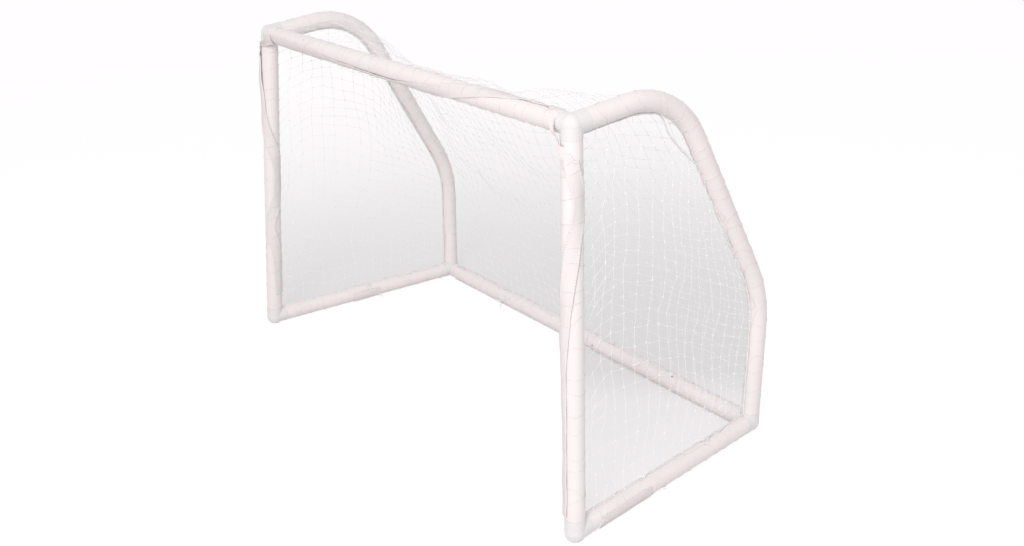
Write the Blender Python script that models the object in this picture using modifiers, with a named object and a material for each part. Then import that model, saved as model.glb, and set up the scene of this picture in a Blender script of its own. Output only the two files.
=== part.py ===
"""Portable football goal of push-together plastic tubes and moulded corners, with a net laced to it.

Metres, +Z up. X runs along the crossbar, towards the right-hand post as seen from the mouth, and
Y runs from the mouth to the back. The goal stands on the floor at Z = 0, centred on its own box.
"""
import math

import bmesh
import bpy
import numpy as np
from mathutils import Vector

# Tubes and floor
TUBE_OD = 0.060
TUBE_WALL = 0.0025
FLOOR_GAP = 0.0005            # base tubes stand this far clear of the floor, between their corners
ROUND_SIDES = 24

# Frame, between tube axes
MOUTH_WIDTH = 1.770           # post axis to post axis, at the crossbar
CROSSBAR_HEIGHT = 1.190       # crossbar axis above the floor
BASE_DEPTH = 0.715            # crossbar axis to rear bar axis, front to back
FOOT_SPLAY = 0.088            # each foot stands outside its end of the crossbar
FOOT_LEAD = 0.1025            # and ahead of it

# Side arms, in their own upright planes
CREST_BACK = 0.365            # corner of the upper bend, behind the crossbar axis
CREST_RISE = 0.030            # and above it
CREST_BEND_RADIUS = 0.260
KNEE_OVERHANG = 0.025         # corner of the lower bend, behind the rear bar axis
KNEE_HEIGHT = 0.485           # and above the floor
KNEE_BEND_RADIUS = 0.400
BEND_STEP = math.radians(9.0)
SHARP_ANGLE = math.radians(35.0)

# Moulded corners
COLLAR_PROUD = 0.0008         # collars are a little larger than the tubes that butt on them
BALL_PROUD = 0.0008           # and the knob at the middle is a little larger than the collars
CROSSBAR_COLLAR_LIP = 0.0152  # collar length past the knob's own radius, towards each tube
POST_COLLAR_LIP = 0.0072
ARM_COLLAR_LIP = 0.0152
FOOT_POST_LIP = 0.0082
FOOT_RAIL_LIP = 0.0142
REAR_LIP = 0.0062
SPIGOT_LENGTH = 0.045
SPIGOT_WALL = 0.004
FIT_CLEARANCE = 0.0003
FOOT_PAD_RADIUS = 0.014       # flat disc under each front foot

# Drilled holes: distance along the tube's axis from the first corner, and the way each one faces
HOLE_DIAMETER = 0.007
HOLE_SIDES = 12
CROSSBAR_HOLE_ALONG = 0.319
CROSSBAR_HOLE_FACES = (0.0, -0.66, 0.75)
LEFT_POST_HOLE_ALONG = 0.823
LEFT_POST_HOLE_FACES = (0.98, 0.19, 0.0)
RIGHT_POST_HOLE_ALONG = 0.052
RIGHT_POST_HOLE_FACES = (0.05, -1.0, 0.0)
LEFT_ARM_HOLE_ALONG = 0.079
LEFT_ARM_HOLE_FACES = (0.33, 0.0, 0.94)
REAR_BAR_FRONT_HOLE_ALONG = 1.006
REAR_BAR_FRONT_HOLE_FACES = (0.0, -1.0, 0.05)
REAR_BAR_TOP_HOLE_ALONG = 1.417
REAR_BAR_TOP_HOLE_FACES = (0.0, -0.37, 0.93)

# Net, its edge ropes and its border band
NET_SEAT = 0.0003
NET_CORD = 0.003
NET_PITCH = 0.112             # one opening stands for several of the real net's 45 mm ones
SIDE_NET_ROWS = 11
SIDE_NET_COLUMNS = 7
SIDE_NET_TURN = 6             # point of the arm's edge that is the side net's upper rear corner
ROOF_NET_ROWS = 3
SLOPE_NET_ROWS = 6
BACK_NET_ROWS = 4
NET_DRAW = 0.20               # at mid-span the net has moved this share of the way in to the bars' straight line
NET_DRAW_POWER = 1.3
ROPE_DIAMETER = 0.005
ROPE_SIDES = 6
ROPE_BOW = 0.022              # daylight between the edge rope and the middle of the upper bend
BAND_WIDTH = 0.045
BAND_THICKNESS = 0.0012
BAND_SEAT = 0.0005
BAND_FACETS = 2
BAND_STEP = 0.025
BAND_LIFT = 0.002

# Routes of the bands: share of the bare tube's length, angle of the band's middle in degrees, lift off the
# tube in steps of BAND_LIFT
CROSSBAR_BAND_ROUTE = [
    (0.014, 20.0, 0), (0.157, 33.0, 0), (0.300, 63.0, 1), (0.497, 80.0, 2), (0.616, 50.0, 1),
    (0.700, 5.0, 0), (0.748, -28.0, 0), (0.807, -62.0, 0), (0.855, -89.0, 0), (0.909, -118.0, 0),
    (0.986, -118.0, 0)]
LEFT_POST_BAND_ROUTE = [
    (0.064, 118.0, 0), (0.239, 100.0, 0), (0.331, 30.0, 0), (0.441, 110.0, 0), (0.551, 118.0, 0),
    (0.625, 100.0, 0), (0.698, 35.0, 1), (0.808, -50.0, 4), (0.992, -60.0, 2)]
RIGHT_POST_BAND_ROUTE = [
    (0.092, -35.0, 1), (0.423, -30.0, 2), (0.533, -10.0, 1), (0.634, 20.0, 0), (0.698, 40.0, 0),
    (0.753, 58.0, 0), (0.818, 94.0, 0), (0.863, 100.0, 0), (0.928, 60.0, 0), (0.992, 5.0, 0)]
RIGHT_RAIL_BAND_ROUTE = [(0.046, 0.0, 0), (0.344, 0.0, 0)]
LEFT_RAIL_BAND_ROUTE = [(0.436, 0.0, 0), (0.599, 0.0, 0)]

# Values that follow from the ones above
TUBE_RADIUS = TUBE_OD / 2
COLLAR_RADIUS = TUBE_RADIUS + COLLAR_PROUD
BALL_RADIUS = COLLAR_RADIUS + BALL_PROUD
ROUND_INSET = math.cos(math.pi / ROUND_SIDES)
SPIGOT_RADIUS = (TUBE_RADIUS - TUBE_WALL) * ROUND_INSET - FIT_CLEARANCE
ROPE_RADIUS = ROPE_DIAMETER / 2
BASE_AXIS = TUBE_RADIUS + FLOOR_GAP
DRILL_LENGTH = 4 * TUBE_WALL
FLOOR_CUTTER_SIZE = 8 * BALL_RADIUS
EDGE_INSET = COLLAR_RADIUS + NET_SEAT + NET_CORD / 2
ROPE_INSET = COLLAR_RADIUS + NET_SEAT + ROPE_RADIUS
ARM_EDGE_INSET = ROPE_INSET + ROPE_RADIUS + NET_SEAT + NET_CORD / 2

HALF_WIDTH = MOUTH_WIDTH / 2
TOP = Vector((HALF_WIDTH, 0.0, CROSSBAR_HEIGHT))
FOOT = Vector((HALF_WIDTH + FOOT_SPLAY, -FOOT_LEAD, BASE_AXIS))
REAR = Vector((HALF_WIDTH, BASE_DEPTH, BASE_AXIS))
CREST = Vector((HALF_WIDTH, CREST_BACK, CROSSBAR_HEIGHT + CREST_RISE))
KNEE = Vector((HALF_WIDTH, BASE_DEPTH + KNEE_OVERHANG, KNEE_HEIGHT))
MIRROR = Vector((-1.0, 1.0, 1.0))


def on_side(point, side):
    """The same point on the right (side 1) or on the left (side -1)."""
    return point * MIRROR if side < 0 else point.copy()


def start_clean():
    for item in list(bpy.data.objects):
        bpy.data.objects.remove(item, do_unlink=True)


def parts_collection():
    collection = bpy.data.collections.new("football_goal")
    bpy.context.scene.collection.children.link(collection)
    return collection


def make_material(name, colour, roughness):
    material = bpy.data.materials.new(name)
    material.use_nodes = True
    shader = material.node_tree.nodes["Principled BSDF"]
    shader.inputs["Base Color"].default_value = (*colour, 1.0)
    shader.inputs["Roughness"].default_value = roughness
    shader.inputs["Metallic"].default_value = 0.0
    return material


def add_object(name, data, material):
    item = bpy.data.objects.new(name, data)
    item.data.materials.clear()
    item.data.materials.append(material)
    PARTS.objects.link(item)
    return item


def drop(item):
    data = item.data
    bpy.data.objects.remove(item, do_unlink=True)
    if isinstance(data, bpy.types.Mesh):
        bpy.data.meshes.remove(data)


def evaluated_mesh(item):
    bpy.context.view_layer.update()
    graph = bpy.context.evaluated_depsgraph_get()
    return bpy.data.meshes.new_from_object(item.evaluated_get(graph))


def settle(item):
    """Makes the object's modifiers part of its mesh."""
    mesh = evaluated_mesh(item)
    item.modifiers.clear()
    old, item.data = item.data, mesh
    bpy.data.meshes.remove(old)
    return item


def combine(item, others, operation):
    """Joins the others to the object, or cuts them from it, and removes them."""
    for other in others:
        step = item.modifiers.new("combine", "BOOLEAN")
        step.operation = operation
        step.solver = "EXACT"
        step.object = other
    settle(item)
    for other in others:
        drop(other)
    return item


def shade_round(item):
    item.data.shade_smooth()
    item.data.set_sharp_from_angle(angle=SHARP_ANGLE)


def curve_object(name, points, radius, sides, caps, material):
    curve = bpy.data.curves.new(name, "CURVE")
    curve.dimensions = "3D"
    curve.bevel_depth = radius
    curve.bevel_resolution = sides // 2 - 2
    curve.use_fill_caps = caps
    spline = curve.splines.new("POLY")
    spline.points.add(len(points) - 1)
    for place, point in zip(spline.points, points):
        place.co = (*point, 1.0)
    return add_object(name, curve, material)


def tube(name, points, holes=()):
    """A round hollow tube along the points, open at both ends, with drilled holes in one wall."""
    curve = curve_object(name + "_axis", points, TUBE_RADIUS, ROUND_SIDES, False, TUBE_PLASTIC)
    item = add_object(name, evaluated_mesh(curve), TUBE_PLASTIC)
    bpy.data.objects.remove(curve, do_unlink=True)
    wall = item.modifiers.new("wall", "SOLIDIFY")
    wall.thickness = TUBE_WALL
    wall.offset = -1.0
    wall.use_even_offset = True
    settle(item)
    if holes:
        cutters = [drill(start, Vector(points[0]) - start, along, faces) for start, along, faces in holes]
        combine(item, cutters, "DIFFERENCE")
    shade_round(item)
    return item


def drill(start, axis, along, faces):
    """A round cutter through the near wall of a tube whose axis leaves the corner at start. It is centred on the
    tube's surface."""
    axis = axis.normalized()
    faces = Vector(faces)
    outward = (faces - axis * faces.dot(axis)).normalized()
    middle = start + axis * along + outward * TUBE_RADIUS
    mesh = bpy.data.meshes.new("drill")
    work = bmesh.new()
    bmesh.ops.create_cone(work, cap_ends=True, segments=HOLE_SIDES, radius1=HOLE_DIAMETER / 2,
                          radius2=HOLE_DIAMETER / 2, depth=DRILL_LENGTH)
    work.to_mesh(mesh)
    work.free()
    item = add_object("drill", mesh, TUBE_PLASTIC)
    item.rotation_mode = "QUATERNION"
    item.rotation_quaternion = outward.to_track_quat("Z", "Y")
    item.location = middle
    return item


def turned(name, profile, base, axis, material):
    """A body turned about the axis through base. The profile is (radius, height) pairs, outer side downwards."""
    mesh = bpy.data.meshes.new(name)
    edges = [(i, i + 1) for i in range(len(profile) - 1)]
    mesh.from_pydata([(radius, 0.0, height) for radius, height in profile], edges, [])
    item = add_object(name, mesh, material)
    item.rotation_mode = "QUATERNION"
    item.rotation_quaternion = axis.to_track_quat("Z", "Y")
    item.location = base
    screw = item.modifiers.new("turn", "SCREW")
    screw.axis = "Z"
    screw.steps = ROUND_SIDES
    screw.render_steps = ROUND_SIDES
    screw.use_merge_vertices = True
    screw.merge_threshold = 0.00001
    return settle(item)


def collar_and_spigot(base, axis, lip):
    """One arm of a corner: a collar that the tube butts on, and a bored spigot that it slides over."""
    reach = BALL_RADIUS + lip
    tip = reach + SPIGOT_LENGTH
    bore = SPIGOT_RADIUS - SPIGOT_WALL
    profile = [(0.0, reach), (bore, reach), (bore, tip), (SPIGOT_RADIUS, tip), (SPIGOT_RADIUS, reach),
               (COLLAR_RADIUS, reach), (COLLAR_RADIUS, 0.0), (0.0, 0.0)]
    return turned("corner_arm", profile, base, axis, CORNER_PLASTIC)


def knob(name, centre):
    """The round middle of a corner, as a turned ball."""
    steps = ROUND_SIDES // 2
    profile = [(BALL_RADIUS * math.sin(math.pi * i / steps), BALL_RADIUS * math.cos(math.pi * i / steps))
               for i in range(steps + 1)]
    return turned(name, profile, centre, Vector((0.0, 0.0, 1.0)), CORNER_PLASTIC)


def foot_knob(name, centre):
    """The middle of a front foot: a ball above, and below it a cup that curves in to a flat pad on the floor."""
    steps = ROUND_SIDES // 4
    turn = [0.5 * math.pi * i / steps for i in range(steps + 1)]
    dome = [(BALL_RADIUS * math.sin(a), BALL_RADIUS * math.cos(a)) for a in turn]
    shoulder = BALL_RADIUS - FOOT_PAD_RADIUS
    cup = [(FOOT_PAD_RADIUS + shoulder * math.cos(a), -BASE_AXIS * math.sin(a)) for a in turn[1:]]
    return turned(name, dome + cup + [(0.0, -BASE_AXIS)], centre, Vector((0.0, 0.0, 1.0)), CORNER_PLASTIC)


def floor_cutter(centre):
    """A block below the floor, which cuts a corner's underside flat."""
    mesh = bpy.data.meshes.new("floor_cutter")
    work = bmesh.new()
    bmesh.ops.create_cube(work, size=FLOOR_CUTTER_SIZE)
    work.to_mesh(mesh)
    work.free()
    item = add_object("floor_cutter", mesh, CORNER_PLASTIC)
    item.location = (centre.x, centre.y, -FLOOR_CUTTER_SIZE / 2)
    return item


def corner(name, centre, middle, arms, on_floor):
    """A moulded corner: its middle, joined to one collar and spigot for each (direction, lip)."""
    item = middle(name, centre)
    combine(item, [collar_and_spigot(centre, axis, lip) for axis, lip in arms], "UNION")
    if on_floor:
        combine(item, [floor_cutter(centre)], "DIFFERENCE")
    shade_round(item)
    return item


def towards(start, end, lip):
    """Where a tube that leaves the corner at start for end begins, just clear of its collar."""
    return start + (end - start).normalized() * (BALL_RADIUS + lip + FIT_CLEARANCE)


def fillet(before, corner_point, after, radius):
    """Points of an arc that rounds the corner between two straight lines."""
    into = (corner_point - before).normalized()
    out = (after - corner_point).normalized()
    turn = into.angle(out)
    reach = radius * math.tan(turn / 2)
    first = corner_point - into * reach
    inward = (out - into * out.dot(into)).normalized()
    centre = first + inward * radius
    count = max(2, math.ceil(turn / BEND_STEP))
    return [centre - inward * radius * math.cos(turn * i / count) + into * radius * math.sin(turn * i / count)
            for i in range(count + 1)]


def arm_points(side):
    """The axis of a side arm, from the top corner's collar to the rear corner's collar."""
    points = [towards(TOP, CREST, ARM_COLLAR_LIP)]
    points += fillet(TOP, CREST, KNEE, CREST_BEND_RADIUS)
    points += fillet(CREST, KNEE, REAR, KNEE_BEND_RADIUS)
    points.append(towards(REAR, KNEE, REAR_LIP))
    return [on_side(point, side) for point in points]


def side_outline(arm_inset):
    """The corners of a side's outline, drawn in from the frame's axes: by EDGE_INSET along the post and the
    rail, and by arm_inset along the arm. They are foot, top, crest, knee and rear, seen from the side."""
    corners = [FOOT, TOP, CREST, KNEE, REAR]
    insets = [EDGE_INSET, arm_inset, arm_inset, arm_inset, EDGE_INSET]
    lines = []
    for i, inset in enumerate(insets):
        start, end = corners[i], corners[(i + 1) % 5]
        run = Vector((end.y - start.y, end.z - start.z)).normalized()
        inward = Vector((run.y, -run.x))
        lines.append((Vector((start.y, start.z)) + inward * inset, run))
    drawn_in = []
    for i in range(5):
        (a, u), (b, v) = lines[i - 1], lines[i]
        along = (b - a).cross(v) / u.cross(v)
        crossing = a + u * along
        drawn_in.append(Vector((HALF_WIDTH, crossing.x, crossing.y)))
    return drawn_in


def arm_edge(arm_inset, rope_gap):
    """A line that follows the inside of a side arm, from the top corner down to the rear one. At the upper bend
    it is as flat as the edge rope, which bows away from the tube, and rope_gap inside it."""
    foot, top, crest, knee, rear = side_outline(arm_inset)
    half_turn = (crest - top).angle(knee - crest) / 2
    bow = ROPE_BOW / (1 / math.cos(half_turn) - 1)
    crest_radius = CREST_BEND_RADIUS - ROPE_INSET + bow - rope_gap
    points = [top]
    points += fillet(top, crest, knee, crest_radius)
    points += fillet(crest, knee, rear, KNEE_BEND_RADIUS - arm_inset)
    points.append(rear)
    return points


def along_line(points, shares):
    """Places at the given shares of a polyline's length."""
    places = np.array([tuple(point) for point in points])
    travelled = np.concatenate([[0.0], np.cumsum(np.linalg.norm(np.diff(places, axis=0), axis=1))])
    wanted = np.asarray(shares) * travelled[-1]
    return np.stack([np.interp(wanted, travelled, places[:, k]) for k in range(3)], axis=-1)


def splay_of(places):
    """How far outside the arm's plane a side net's points lie: flat through the post and the rail, and in the
    arm's plane behind the line from the top corner to the rear one."""
    y, z = places[..., 1], places[..., 2]
    post = np.array([FOOT.y - TOP.y, FOOT.z - TOP.z])
    back = np.array([REAR.y - TOP.y, REAR.z - TOP.z])
    share = ((y - TOP.y) * back[1] - (z - TOP.z) * back[0]) / (post[0] * back[1] - post[1] * back[0])
    return FOOT_SPLAY * np.maximum(share, 0.0)


def side_net_places():
    """The grid of a right side net: a patch blended between its four edges, rows by columns."""
    edge = arm_edge(ARM_EDGE_INSET, ROPE_RADIUS + NET_SEAT + NET_CORD / 2)
    foot, rear = side_outline(ARM_EDGE_INSET)[0], edge[-1]
    top_edge, back_edge = edge[:SIDE_NET_TURN + 1], edge[SIDE_NET_TURN:][::-1]
    u = np.linspace(0.0, 1.0, SIDE_NET_COLUMNS + 1)
    v = np.linspace(0.0, 1.0, SIDE_NET_ROWS + 1)
    bottom, top = along_line([foot, rear], u), along_line(top_edge, u)
    left, right = along_line([foot, edge[0]], v), along_line(back_edge, v)
    u, v = u[None, :, None], v[:, None, None]
    corners = ((1 - u) * (1 - v) * bottom[0] + u * (1 - v) * bottom[-1] + (1 - u) * v * top[0] + u * v * top[-1])
    places = (1 - v) * bottom[None] + v * top[None] + (1 - u) * left[:, None] + u * right[:, None] - corners
    places[..., 0] = HALF_WIDTH + splay_of(places)
    return places


def strip_profile():
    """The arm's axis as a line in side view, from behind the crossbar to above the rear bar."""
    points = [TOP] + fillet(TOP, CREST, KNEE, CREST_BEND_RADIUS) + fillet(CREST, KNEE, REAR, KNEE_BEND_RADIUS)
    points.append(REAR)
    places = np.array([tuple(point) for point in points])
    start = places[0] + (places[1] - places[0]) * EDGE_INSET / np.linalg.norm(places[1] - places[0])
    end = places[-1] + (places[-2] - places[-1]) * EDGE_INSET / np.linalg.norm(places[-2] - places[-1])
    return np.vstack([start, places[1:-1], end])


def strip_net_places(from_share, to_share, rows):
    """The grid of a net panel that spans from arm to arm, over a share of the arm's length. Between the arms it
    draws in towards the straight line from the crossbar to the rear bar."""
    half_span = HALF_WIDTH - EDGE_INSET
    columns = max(1, round(2 * half_span / NET_PITCH))
    across = np.linspace(-1.0, 1.0, columns + 1)
    draw = NET_DRAW * (1.0 - across ** 2) ** NET_DRAW_POWER
    shares = np.linspace(from_share, to_share, rows + 1)
    profile = strip_profile()
    line = along_line(profile, shares)
    straight = profile[0] + shares[:, None] * (profile[-1] - profile[0])
    places = line[:, None] + draw[None, :, None] * (straight - line)[:, None]
    places[..., 0] = half_span * across[None, :]
    return places


def grid_sheet(name, places, material):
    """An open sheet: a flat grid whose corners move to the given rows and columns of places."""
    rows, columns = places.shape[0] - 1, places.shape[1] - 1
    mesh = bpy.data.meshes.new(name)
    work = bmesh.new()
    bmesh.ops.create_grid(work, x_segments=columns, y_segments=rows, size=1.0)
    for vertex in work.verts:
        column = round((vertex.co.x + 1) / 2 * columns)
        row = round((vertex.co.y + 1) / 2 * rows)
        vertex.co = places[row, column]
    work.to_mesh(mesh)
    work.free()
    return add_object(name, mesh, material)


def net_panel(name, places):
    """A net: a grid whose corners lie at the given rows and columns, made into cords one NET_CORD thick."""
    item = grid_sheet(name, places, NET_TWINE)
    cords = item.modifiers.new("cords", "WIREFRAME")
    cords.thickness = NET_CORD
    cords.offset = 0.0
    cords.use_boundary = True
    cords.use_replace = True
    cords.use_even_offset = True
    return item


def band_spread():
    """The angle that the band's width covers on the tube."""
    return BAND_WIDTH / (TUBE_RADIUS + BAND_SEAT)


def band(name, start, end, start_lip, end_lip, front, stations):
    """A flat woven band that lies on the straight tube between two corners. Each station is (share of the bare
    tube's length, angle of the band's middle, steps of lift off the tube). Angles turn by the right hand about
    the line from start to end, and count from front."""
    axis = (end - start).normalized()
    zero = (front - axis * front.dot(axis)).normalized()
    quarter = axis.cross(zero)
    bare_start = BALL_RADIUS + start_lip
    bare_length = (end - start).length - bare_start - BALL_RADIUS - end_lip
    shares, angles, lifts = np.array(stations).T
    count = max(2, round((shares[-1] - shares[0]) * bare_length / BAND_STEP))
    share = np.linspace(shares[0], shares[-1], count + 1)
    middle = np.radians(np.interp(share, shares, angles))
    turn = np.abs(np.diff(middle))
    turn = np.maximum(np.append(turn, 0.0), np.insert(turn, 0, 0.0))
    radius = (TUBE_RADIUS + BAND_SEAT) / np.cos((band_spread() / BAND_FACETS + turn) / 2)
    angle = middle[:, None] + np.linspace(-0.5, 0.5, BAND_FACETS + 1)[None, :] * band_spread()
    reach = (radius + BAND_LIFT * np.interp(share, shares, lifts))[:, None, None]
    out = np.cos(angle)[..., None] * np.array(zero) + np.sin(angle)[..., None] * np.array(quarter)
    along = (bare_start + share * bare_length)[:, None, None]
    item = grid_sheet(name, np.array(start) + along * np.array(axis) + reach * out, BAND_CLOTH)
    cloth = item.modifiers.new("cloth", "SOLIDIFY")
    cloth.thickness = BAND_THICKNESS
    cloth.offset = 1.0
    return item


def rope(name, points, radius):
    return curve_object(name, points, radius, ROPE_SIDES, True, NET_TWINE)


def build_tubes():
    right_foot, left_foot = on_side(FOOT, 1), on_side(FOOT, -1)
    right_top, left_top = on_side(TOP, 1), on_side(TOP, -1)
    right_rear, left_rear = on_side(REAR, 1), on_side(REAR, -1)
    tube("crossbar", [towards(left_top, right_top, CROSSBAR_COLLAR_LIP),
                      towards(right_top, left_top, CROSSBAR_COLLAR_LIP)],
         [(left_top, CROSSBAR_HOLE_ALONG, CROSSBAR_HOLE_FACES)])
    tube("rear_bar", [towards(left_rear, right_rear, REAR_LIP), towards(right_rear, left_rear, REAR_LIP)],
         [(left_rear, REAR_BAR_FRONT_HOLE_ALONG, REAR_BAR_FRONT_HOLE_FACES),
          (left_rear, REAR_BAR_TOP_HOLE_ALONG, REAR_BAR_TOP_HOLE_FACES)])
    tube("left_post", [towards(left_top, left_foot, POST_COLLAR_LIP), towards(left_foot, left_top, FOOT_POST_LIP)],
         [(left_top, LEFT_POST_HOLE_ALONG, LEFT_POST_HOLE_FACES)])
    tube("right_post", [towards(right_top, right_foot, POST_COLLAR_LIP),
                        towards(right_foot, right_top, FOOT_POST_LIP)],
         [(right_top, RIGHT_POST_HOLE_ALONG, RIGHT_POST_HOLE_FACES)])
    tube("left_side_arm", arm_points(-1), [(left_top, LEFT_ARM_HOLE_ALONG, LEFT_ARM_HOLE_FACES)])
    tube("right_side_arm", arm_points(1))
    for name, foot, rear in (("left", left_foot, left_rear), ("right", right_foot, right_rear)):
        tube(name + "_base_rail", [towards(foot, rear, FOOT_RAIL_LIP), towards(rear, foot, REAR_LIP)])


def build_corners():
    for name, side in (("left", -1), ("right", 1)):
        top, foot, rear = (on_side(point, side) for point in (TOP, FOOT, REAR))
        crest, knee = on_side(CREST, side), on_side(KNEE, side)
        inward = Vector((-side, 0.0, 0.0))
        corner(f"top_{name}_corner", top, knob,
               [(inward, CROSSBAR_COLLAR_LIP), (foot - top, POST_COLLAR_LIP), (crest - top, ARM_COLLAR_LIP)], False)
        corner(f"{name}_foot_elbow", foot, foot_knob,
               [(top - foot, FOOT_POST_LIP), (rear - foot, FOOT_RAIL_LIP)], True)
        corner(f"rear_{name}_corner", rear, knob,
               [(inward, REAR_LIP), (foot - rear, REAR_LIP), (knee - rear, REAR_LIP)], True)


def build_nets():
    places = side_net_places()
    net_panel("right_side_net", places)
    net_panel("left_side_net", places[:, ::-1] * np.array(MIRROR))
    length = np.linalg.norm(np.diff(strip_profile(), axis=0), axis=1).sum()
    apart = (NET_CORD + NET_SEAT) / length
    roof_end = CREST_BACK / length
    slope_end = 1 - (KNEE_HEIGHT - BASE_AXIS) / length
    net_panel("roof_net", strip_net_places(0.0, roof_end - apart, ROOF_NET_ROWS))
    net_panel("slope_net", strip_net_places(roof_end, slope_end - apart, SLOPE_NET_ROWS))
    net_panel("back_net", strip_net_places(slope_end, 1.0, BACK_NET_ROWS))


def build_ropes():
    line = arm_edge(ROPE_INSET, 0.0)
    for name, side in (("left", -1), ("right", 1)):
        rope(name + "_hem_rope", [on_side(point, side) for point in line], ROPE_RADIUS)
    # Lies on the floor, against the front of the rear bar
    from_bar = TUBE_RADIUS + NET_SEAT + ROPE_RADIUS
    back = BASE_DEPTH - math.sqrt(from_bar ** 2 - (BASE_AXIS - ROPE_RADIUS) ** 2)
    reach = HALF_WIDTH - 2 * COLLAR_RADIUS
    rope("rear_edge_rope", [Vector((-reach, back, ROPE_RADIUS)), Vector((reach, back, ROPE_RADIUS))], ROPE_RADIUS)


def build_bands():
    front = Vector((0.0, -1.0, 0.0))
    left_top, left_foot, left_rear = (on_side(point, -1) for point in (TOP, FOOT, REAR))
    # Hangs under the left half, then climbs across the front and over the top
    band("crossbar_band", left_top, TOP, CROSSBAR_COLLAR_LIP, CROSSBAR_COLLAR_LIP, front, CROSSBAR_BAND_ROUTE)
    # Beside the mouth at the top, then across the front and down the inner side
    band("left_post_band", left_foot, left_top, FOOT_POST_LIP, POST_COLLAR_LIP, front, LEFT_POST_BAND_ROUTE)
    # Up the front, in to the inner side, and back to the front
    band("right_post_band", FOOT, TOP, FOOT_POST_LIP, POST_COLLAR_LIP, front, RIGHT_POST_BAND_ROUTE)
    # Low on the right-hand face of each rail, with the lower edge just off the floor
    outer = (TUBE_RADIUS + BAND_SEAT) / math.cos(band_spread() / BAND_FACETS / 2) + BAND_THICKNESS
    dip = math.asin((BASE_AXIS - BAND_SEAT) / outer) - band_spread() / 2
    right_low = Vector((math.cos(dip), 0.0, -math.sin(dip)))
    band("right_rail_band", FOOT, REAR, FOOT_RAIL_LIP, REAR_LIP, right_low, RIGHT_RAIL_BAND_ROUTE)
    band("left_rail_band", left_rear, left_foot, REAR_LIP, FOOT_RAIL_LIP, right_low, LEFT_RAIL_BAND_ROUTE)


def centre_on_origin():
    """Hangs every part on one empty, which sets the middle of the whole goal's box over the origin."""
    bpy.context.view_layer.update()
    graph = bpy.context.evaluated_depsgraph_get()
    lows, highs = [], []
    for item in PARTS.objects:
        seen = item.evaluated_get(graph)
        mesh = seen.to_mesh()
        places = np.empty(len(mesh.vertices) * 3)
        mesh.vertices.foreach_get("co", places)
        matrix = np.array(item.matrix_world)
        places = places.reshape(-1, 3) @ matrix[:3, :3].T + matrix[:3, 3]
        lows.append(places.min(axis=0))
        highs.append(places.max(axis=0))
        seen.to_mesh_clear()
    middle = (np.min(lows, axis=0) + np.max(highs, axis=0)) / 2
    origin = bpy.data.objects.new("goal_origin", None)
    PARTS.objects.link(origin)
    origin.location = (-middle[0], -middle[1], 0.0)
    for item in PARTS.objects:
        if item is not origin:
            item.parent = origin


start_clean()
PARTS = parts_collection()
TUBE_PLASTIC = make_material("tube_plastic", (0.86, 0.81, 0.80), 0.38)
CORNER_PLASTIC = make_material("corner_plastic", (0.84, 0.83, 0.84), 0.30)
NET_TWINE = make_material("net_twine", (0.88, 0.88, 0.88), 0.75)
BAND_CLOTH = make_material("band_cloth", (0.86, 0.84, 0.83), 0.80)
build_tubes()
build_corners()
build_nets()
build_ropes()
build_bands()
centre_on_origin()
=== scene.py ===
"""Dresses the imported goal: knotted nets, twisted edge ropes, lacing, border bands, plastics and a studio."""
import math

import bpy
import numpy as np
from mathutils import Euler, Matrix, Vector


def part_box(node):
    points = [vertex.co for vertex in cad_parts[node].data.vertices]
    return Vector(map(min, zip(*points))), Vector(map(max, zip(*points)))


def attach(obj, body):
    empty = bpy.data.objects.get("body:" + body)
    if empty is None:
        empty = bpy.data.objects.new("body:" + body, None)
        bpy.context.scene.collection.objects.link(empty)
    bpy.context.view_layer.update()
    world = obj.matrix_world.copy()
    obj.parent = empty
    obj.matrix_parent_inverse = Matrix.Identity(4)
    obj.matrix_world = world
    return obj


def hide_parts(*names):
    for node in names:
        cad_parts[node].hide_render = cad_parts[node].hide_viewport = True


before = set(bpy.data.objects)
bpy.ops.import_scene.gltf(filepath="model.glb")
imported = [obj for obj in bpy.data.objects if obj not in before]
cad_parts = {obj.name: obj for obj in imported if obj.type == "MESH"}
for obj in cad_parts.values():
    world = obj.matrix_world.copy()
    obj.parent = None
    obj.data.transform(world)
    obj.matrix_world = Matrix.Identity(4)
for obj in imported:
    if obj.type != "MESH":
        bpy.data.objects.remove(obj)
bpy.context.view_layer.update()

bl_info = {
    "name": "Tube football goal",
    "version": (1, 0, 0),
    "blender": (4, 5, 0),
    "location": "3D view > Sidebar > Goal",
    "description": "Nets, ropes, lacing, border bands and finishes for a goal of plastic tubes",
    "category": "Add Mesh",
}

ALL = "root"

# Frame sizes, in metres, as the solids have them
TUBE_RADIUS = 0.030
BASE_AXIS = 0.0305
KNOB_RADIUS = 0.0316
MOUTH_Y = sum(corner.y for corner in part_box("crossbar")) / 2
HALF_WIDTH = 0.885
FOOT_SPLAY = 0.088
TOP = np.array([HALF_WIDTH, MOUTH_Y, 1.190])
FOOT = np.array([HALF_WIDTH + FOOT_SPLAY, MOUTH_Y - 0.1025, BASE_AXIS])
REAR = np.array([HALF_WIDTH, MOUTH_Y + 0.715, BASE_AXIS])
CREST = np.array([HALF_WIDTH, MOUTH_Y + 0.365, 1.220])
KNEE = np.array([HALF_WIDTH, MOUTH_Y + 0.740, 0.485])
CREST_BEND = 0.260
KNEE_BEND = 0.400
MIRROR = np.array([-1.0, 1.0, 1.0])
LEFT_TOP, LEFT_FOOT, LEFT_REAR = TOP * MIRROR, FOOT * MIRROR, REAR * MIRROR
UP = np.array([0.0, 0.0, 1.0])
RIGHT = np.array([1.0, 0.0, 0.0])
FRONT = np.array([0.0, -1.0, 0.0])

# The camera, fitted to the photograph's tube edges
EYE = (3.10367, -2.10760, 2.00736)
EYE_TURN = (66.7406, 2.8464, 53.3173)
LENS = 40.249

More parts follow.
